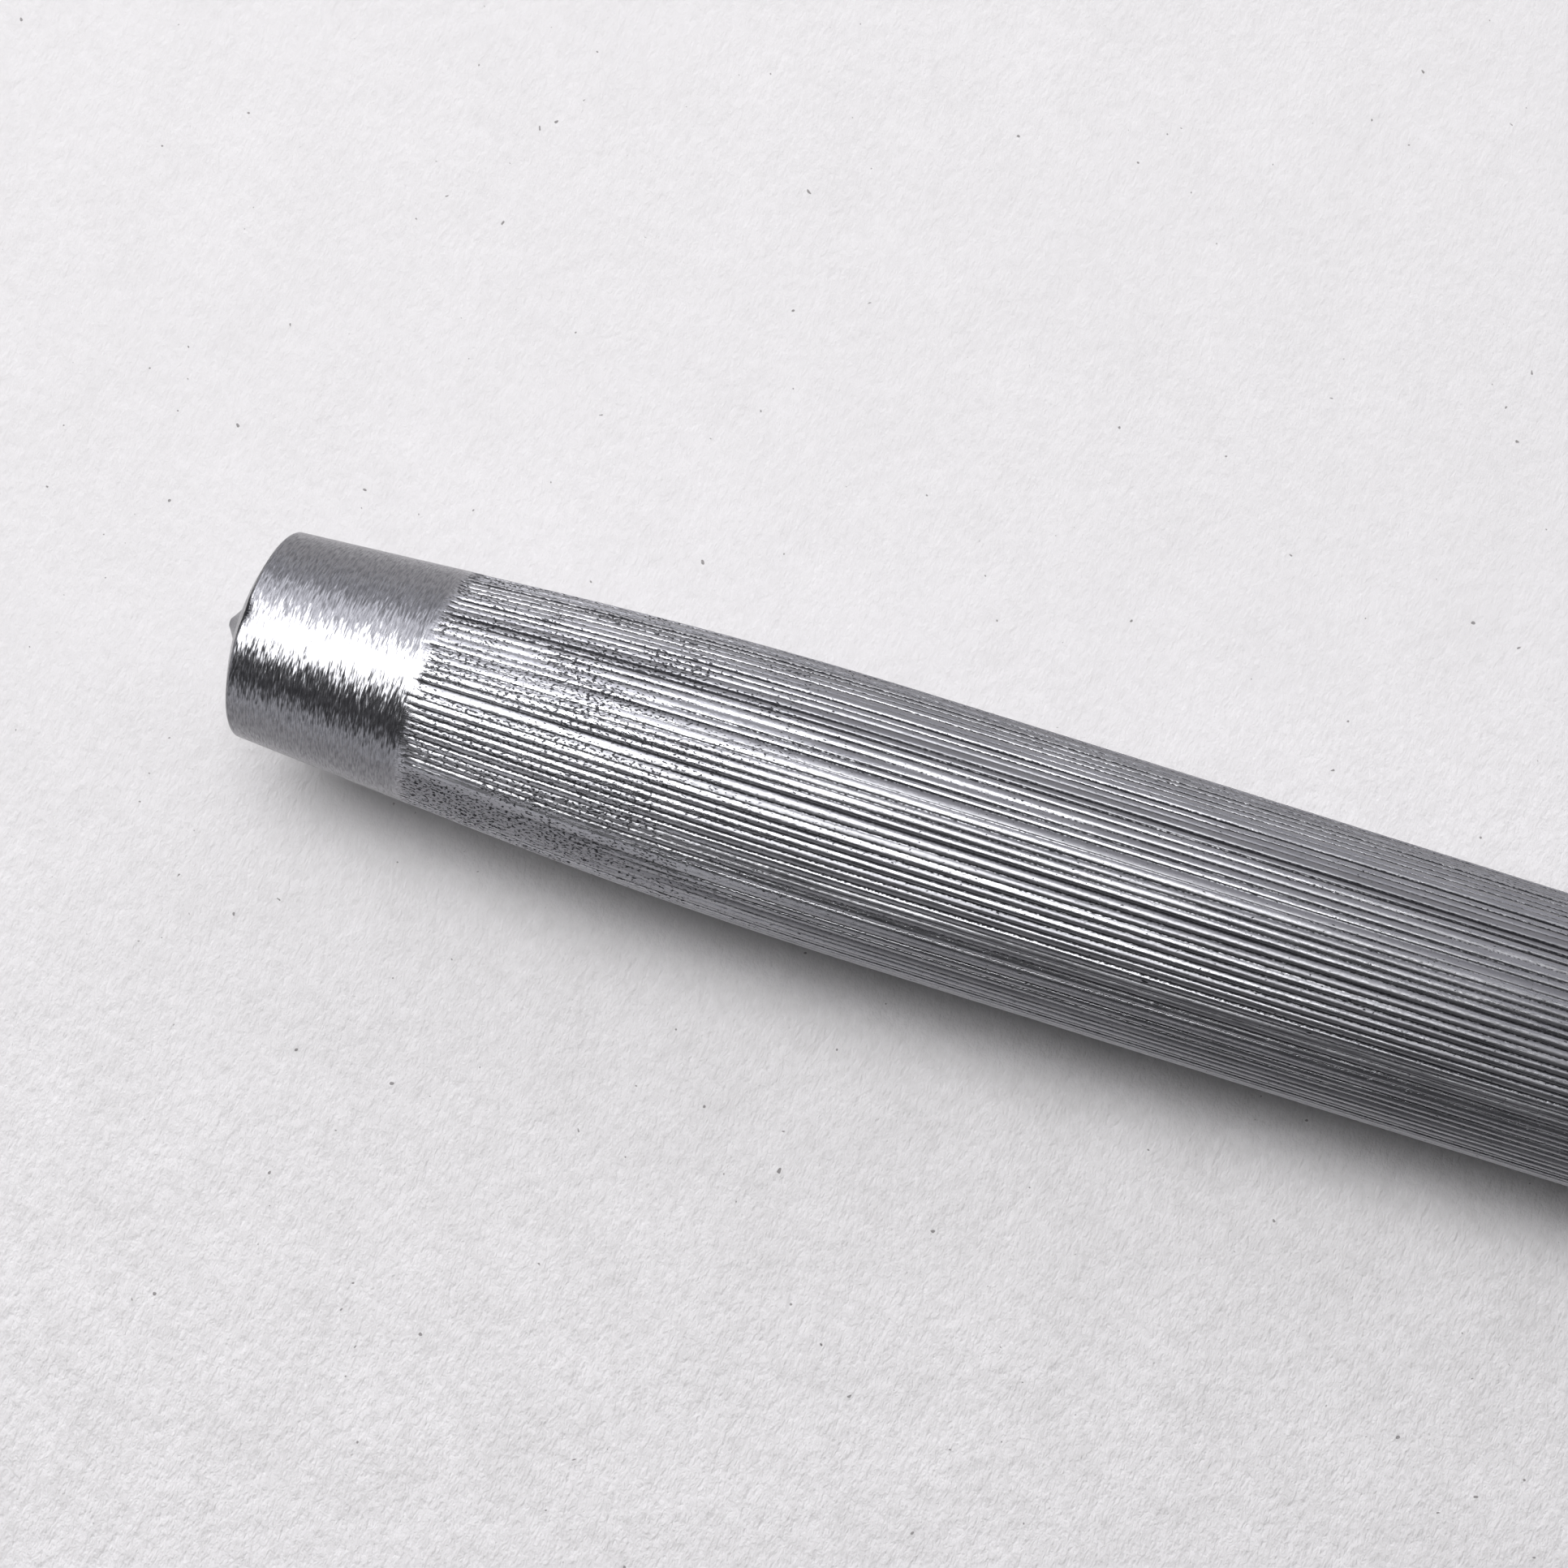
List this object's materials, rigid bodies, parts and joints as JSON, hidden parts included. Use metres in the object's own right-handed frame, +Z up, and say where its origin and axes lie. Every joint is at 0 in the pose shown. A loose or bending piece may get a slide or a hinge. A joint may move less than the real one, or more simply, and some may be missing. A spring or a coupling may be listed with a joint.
{
  "type": "pricking iron",
  "caption": "Hand-struck leather pricking iron: a round, straight-knurled steel handle with a slotted nose, a flared toothed blade pinned into it by its tang, and cross pins.",
  "frame": {"origin": "the point of the resting surface under the middle of the tool's length", "axes": "+X along the handle's axis from the struck end to the teeth, +Y across the blade's width, +Z up, square to the blade's broad face"},
  "size_m": [0.112, 0.018, 0.008],
  "materials": {
    "plated_steel": "satin plated, sanded across the plain band",
    "ground_steel": "ground lengthwise",
    "pin_steel": "filed flush"
  },
  "bodies": {
    "root": {"handle": "plated_steel", "blade": "ground_steel", "front_pin": "pin_steel", "rear_pin": "pin_steel"}
  },
  "joints": []
}
